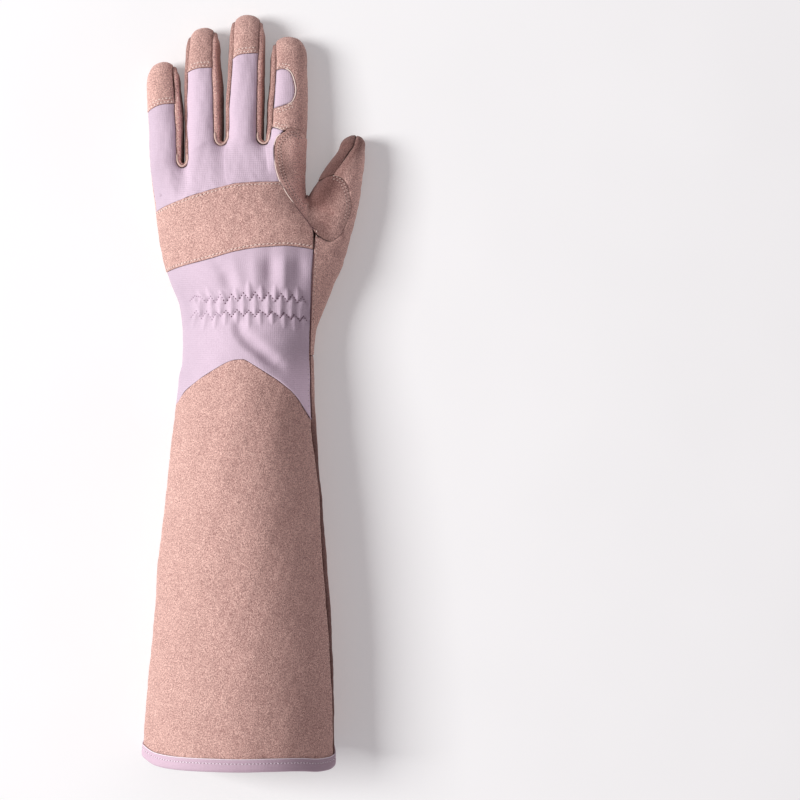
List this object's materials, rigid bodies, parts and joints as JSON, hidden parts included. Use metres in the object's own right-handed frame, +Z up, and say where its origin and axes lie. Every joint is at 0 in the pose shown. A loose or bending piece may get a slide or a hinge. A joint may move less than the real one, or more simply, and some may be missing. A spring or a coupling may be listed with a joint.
{
  "type": "gardening glove",
  "caption": "Long-cuff thorn-proof gardening glove for the left hand, lying palm down: suede palm, band, caps and long flared gauntlet, fabric back and gathered wrist, bound cuff edge.",
  "frame": {"origin": "on the resting plane, under the middle of the glove's outline", "axes": "+Z up, +Y towards the fingertips along the glove, +X towards the thumb"},
  "size_m": [0.132, 0.4449, 0.056],
  "materials": {
    "suede": "napped suede, dusty pink-tan, seams sewn with pale thread",
    "lavender_fabric": "fine ribbed stretch fabric, matt, pale lavender",
    "binding": "folded woven binding, matt, lavender"
  },
  "bodies": {
    "root": {"hand_back": "lavender_fabric", "index_window": "lavender_fabric", "wrist_panel": "lavender_fabric", "pinky_cap": "suede", "ring_cap": "suede", "middle_cap": "suede", "index_panel": "suede", "thumb_web_patch": "suede", "thumb_inner": "suede", "knuckle_band": "suede", "gauntlet_back": "suede", "gauntlet_palm": "suede", "palm_panel": "suede", "fourchette_pinky_ring": "suede", "fourchette_ring_middle": "suede", "fourchette_middle_index": "suede", "cuff_binding": "binding"}
  },
  "joints": []
}
